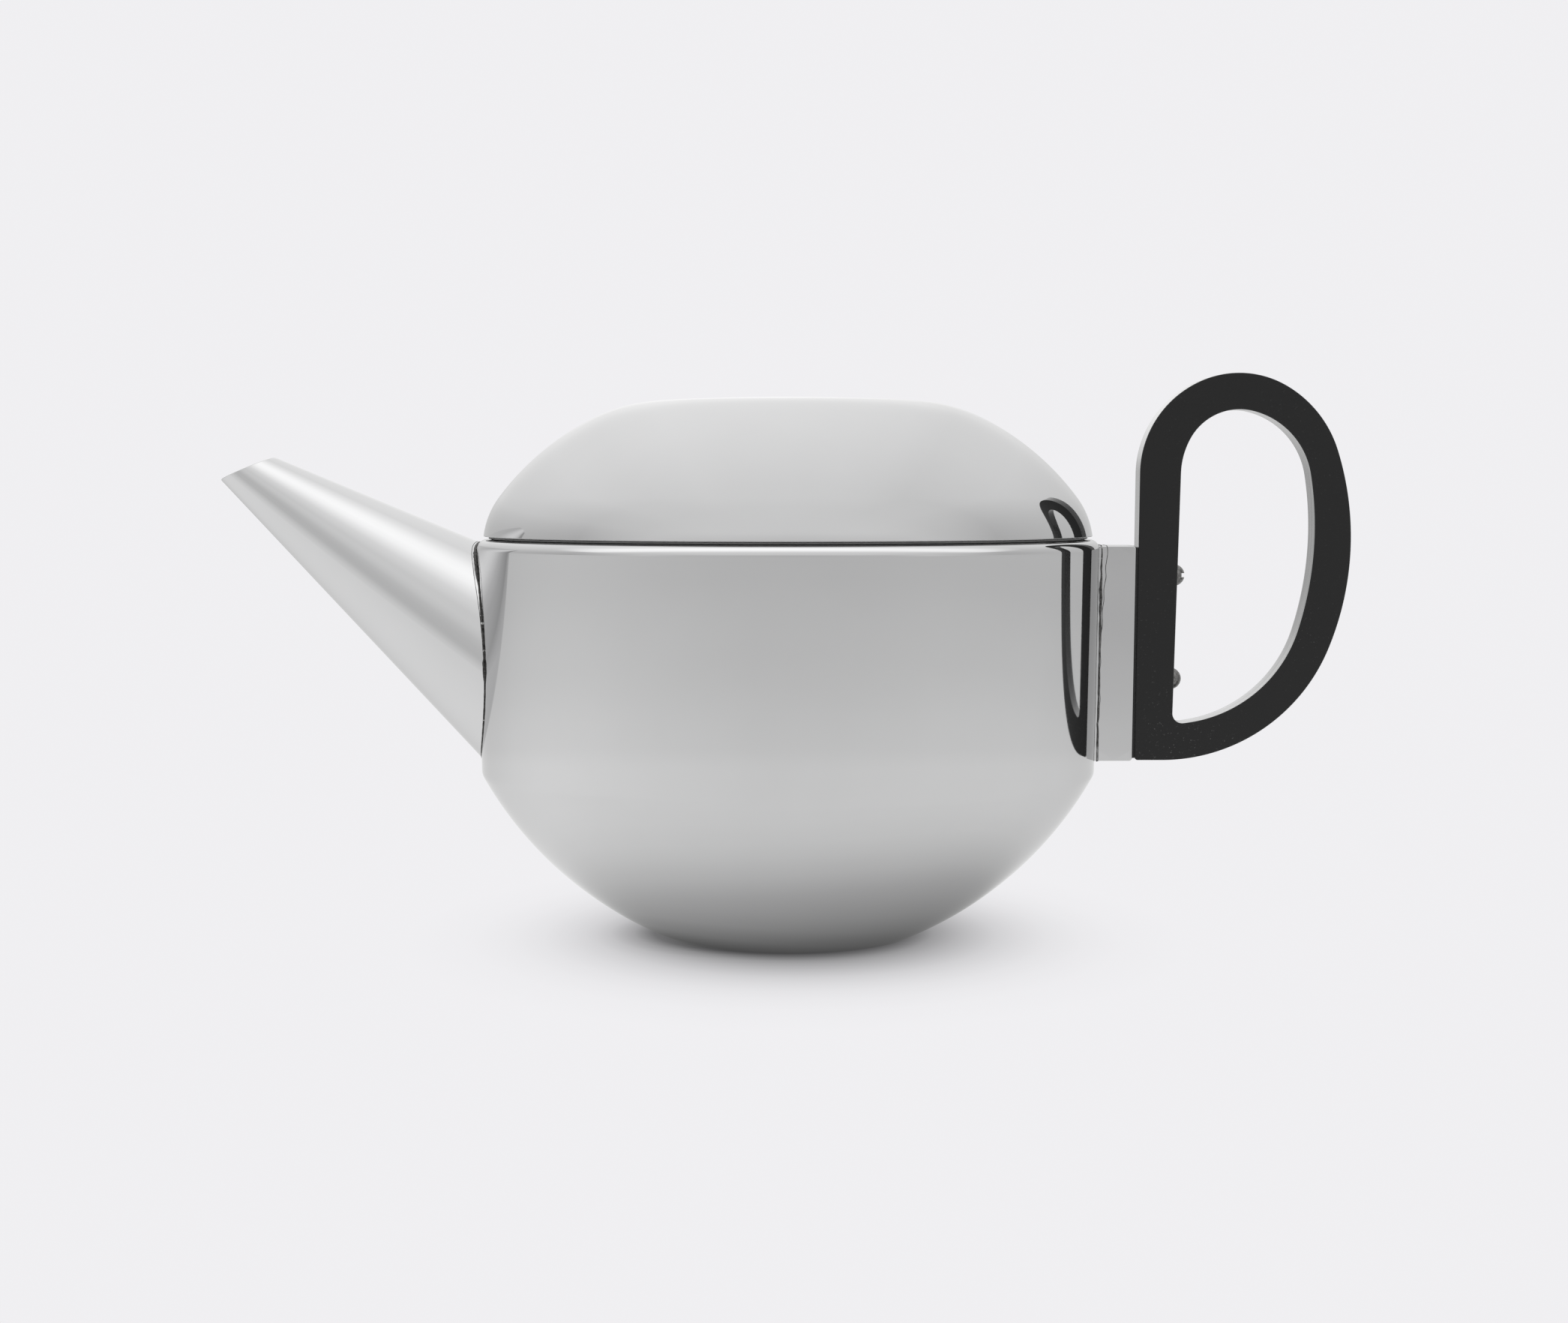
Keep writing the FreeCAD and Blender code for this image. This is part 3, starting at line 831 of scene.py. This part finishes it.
def make_world():
    """Room light by direction for the metal, and one even tone for the camera."""
    world = bpy.data.worlds.new("studio")
    bpy.context.scene.world = world
    world.use_nodes = True
    world.node_tree.nodes.clear()
    n = Nodes(tree=world.node_tree)
    split = n.add("ShaderNodeSeparateXYZ")
    n.link(n.add("ShaderNodeTexCoord").outputs["Generated"], split.inputs[0])
    flat = n.add("ShaderNodeCombineXYZ")
    n.link(split.outputs["X"], flat.inputs["X"])
    n.link(split.outputs["Z"], flat.inputs["Z"])
    tilt = n.math("DIVIDE", split.outputs["X"], n.length(flat.outputs[0]))
    sides = n.blend(n.curve(split.outputs["Y"], ROOM_FRONT), 1.0, n.curve(tilt, ROOM_TILT))
    low = n.blend(n.curve(split.outputs["Y"], ROOM_LOW_FRONT), 1.0, n.curve(split.outputs["Z"], ROOM_LOW))
    room = n.math("MULTIPLY", n.math("MULTIPLY", n.curve(split.outputs["Y"], ROOM_DEPTH), low), sides)
    path = n.add("ShaderNodeLightPath")
    back = n.add("ShaderNodeBackground")
    n.link(n.mixed(path.outputs["Is Camera Ray"], NEUTRAL, BACKDROP_TINT), back.inputs["Color"])
    n.link(n.blend(path.outputs["Is Camera Ray"], room, BACKDROP), back.inputs["Strength"])
    n.link(back.outputs[0], n.add("ShaderNodeOutputWorld").inputs["Surface"])


def softbox(name, place, target, size, radiance, lit):
    """Large light that fades towards its edges and lights only some pieces."""
    light = bpy.data.lights.new(name, "AREA")
    light.shape = "RECTANGLE"
    light.size, light.size_y = size
    light.energy = radiance * math.pi * size[0] * size[1]
    light.use_nodes = True
    n = Nodes(tree=light.node_tree)
    split = n.add("ShaderNodeSeparateXYZ")
    n.link(n.add("ShaderNodeNewGeometry").outputs["Parametric"], split.inputs[0])
    ends = n.curve(split.outputs["X"], SOFTBOX_ENDS)
    fade = n.math("MULTIPLY", ends, n.curve(split.outputs["Y"], SOFTBOX_FADE))
    n.link(fade, light.node_tree.nodes["Emission"].inputs["Strength"])
    made = bpy.data.objects.new(name, light)
    bpy.context.scene.collection.objects.link(made)
    made.location = place
    made.rotation_euler = (Vector(target) - Vector(place)).to_track_quat("-Z", "Y").to_euler()
    receivers = bpy.data.collections.new(name + "_lights")
    for piece in lit:
        receivers.objects.link(piece)
    made.light_linking.receiver_collection = receivers


# ---- putting it together ----
def cut_port(body):
    """Opens the side wall behind the spout."""
    axis = spout_axis()
    run = -outer_radius(PORT_HEIGHT) - SPOUT_APEX.x
    centre = SPOUT_APEX + axis * (run / axis.x)
    points = []
    count = 96
    side = Vector((0, 1, 0))
    above = axis.cross(side)
    for end in (-30, 30):
        for k in range(count):
            turn = math.tau * k / count
            outward = side * math.cos(turn) + above * math.sin(turn)
            points.append(centre + axis * end + outward * PORT_RADIUS)
    caps = [tuple(range(count)), tuple(range(2 * count - 1, count - 1, -1))]
    faces = grid_faces(2, count, False, True) + caps
    cutter = mesh_object("port_cutter", points, faces)
    modifier = body.modifiers.new("port", "BOOLEAN")
    modifier.operation = "DIFFERENCE"
    modifier.solver = "EXACT"
    modifier.object = cutter
    apply_modifiers(body)
    bpy.data.objects.remove(cutter)


def apply_modifiers(made):
    graph = bpy.context.evaluated_depsgraph_get()
    mesh = bpy.data.meshes.new_from_object(made.evaluated_get(graph))
    made.modifiers.clear()
    old = made.data
    made.data = mesh
    bpy.data.meshes.remove(old)


def dress(made, body, material, slot, *nodes):
    made.data.materials.clear()
    made.data.materials.append(material)
    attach(made, body)
    if nodes:
        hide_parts(*nodes)


def coat(node, material):
    """Gives a CAD node its material."""
    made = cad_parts[node]
    made.data.materials.clear()
    made.data.materials.append(material)


def lid_outline():
    skins = []
    for inset in (0, LID_WALL):
        start = moved(LID_EDGE, LID_EDGE_SLOPE + 90, inset)
        stations = run_of_arcs(start, LID_EDGE_SLOPE, [(r - inset, t) for r, t in LID_ARCS], 0.5)
        corner = stations[-1][:2]
        top = CROWN_HEIGHT - inset
        rise = top - corner[1]
        radius = (corner[0] ** 2 + rise ** 2) / (2 * rise)
        half = math.asin(corner[0] / radius)
        steps = 24
        leans = [half * (1 - k / steps) for k in range(1, steps + 1)]
        crown = [(radius * math.sin(lean), top - radius * (1 - math.cos(lean))) for lean in leans]
        skins.append(offset_points(stations, 0) + crown)
    outer, inner = skins
    low = [(inner[0][0] + 0.1, LID_EDGE[1]), (outer[0][0] - 0.2, LID_EDGE[1])]
    return inner[::-1] + low + [moved(LID_EDGE, LID_EDGE_SLOPE, 0.15)] + outer[1:]


def main():
    make_camera()
    make_floor()
    make_world()
    bpy.context.scene.view_settings.view_transform = "Standard"
    profile = profile_lookup()

    steel = polished_steel("polished_body", STEEL_TONE, (0.02, 0.02, 1))
    lid_steel = polished_steel("polished_lid", STEEL_TONE, (1, 1, 0.2))
    spout_turn = (0, math.radians(SPOUT_SLOPE), 0)
    spout_steel = polished_steel("polished_spout", STEEL_TONE, (0.02, 1, 1), spout_turn)
    bracket_steel = polished_steel("polished_bracket", BRACKET_TONE, (1, 1, 0.05))
    braze = braze_metal()

    body = revolved("body_skin", body_outline())
    cut_port(body)
    dress(body, "pot", steel, "body_steel", "body_shell")
    inside = satin_inside()
    line_inside(body, inside, in_vessel)
    lid = revolved("lid_dome", lid_outline())
    dress(lid, "lid", lid_steel, "lid_steel", "lid_shell")
    line_inside(lid, inside, in_vessel)
    spout = spout_piece(profile)
    dress(spout, "pot", spout_steel, "spout_steel", "spout")
    line_inside(spout, inside, in_spout)
    dress(spout_bead(profile), "pot", braze, "braze", "spout_seam")
    dress(spout_bead_edge(profile), "pot", braze, "braze")
    handle = slab("handle_ring", handle_stations(), grip_stations(), HANDLE_WIDTH, HANDLE_EDGE)
    dress(handle, "pot", satin_black(), "handle_black", "handle")
    bracket = slab("bracket_block", bracket_stations(), None, HANDLE_WIDTH, BRACKET_EDGE)
    dress(bracket, "pot", bracket_steel, "bracket_steel", "handle_bracket")
    dress(bracket_bead(profile), "pot", braze, "braze", "bracket_seam")
    # the crack line takes the dark braze colour as painted shade of the open crack
    dress(bracket_crack_painted_shade(profile), "pot", braze, "braze")
    seal = revolved("seal_lip", SEAL_OUTLINE)
    dress(seal, "seal_ring", soft_rubber("seal_silicone", 0.34), "seal_silicone", "lid_seal")

    coat("neck_ring", turned_steel("turned_neck", 0.55, 0.25))
    coat("lid_collar", turned_steel("turned_collar", 0.5, 0.3))
    coat("strainer", turned_steel("punched_strainer", 0.5, 0.35))
    coat("heat_pad", soft_rubber("pad_rubber", 0.012))
    coat("handle_screws", dull_screw())

    lit = [body, spout, bracket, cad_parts["handle_screws"]]
    softbox("front_bank", BANK_PLACE, BANK_TARGET, BANK_SIZE, BANK_RADIANCE, lit)


main()
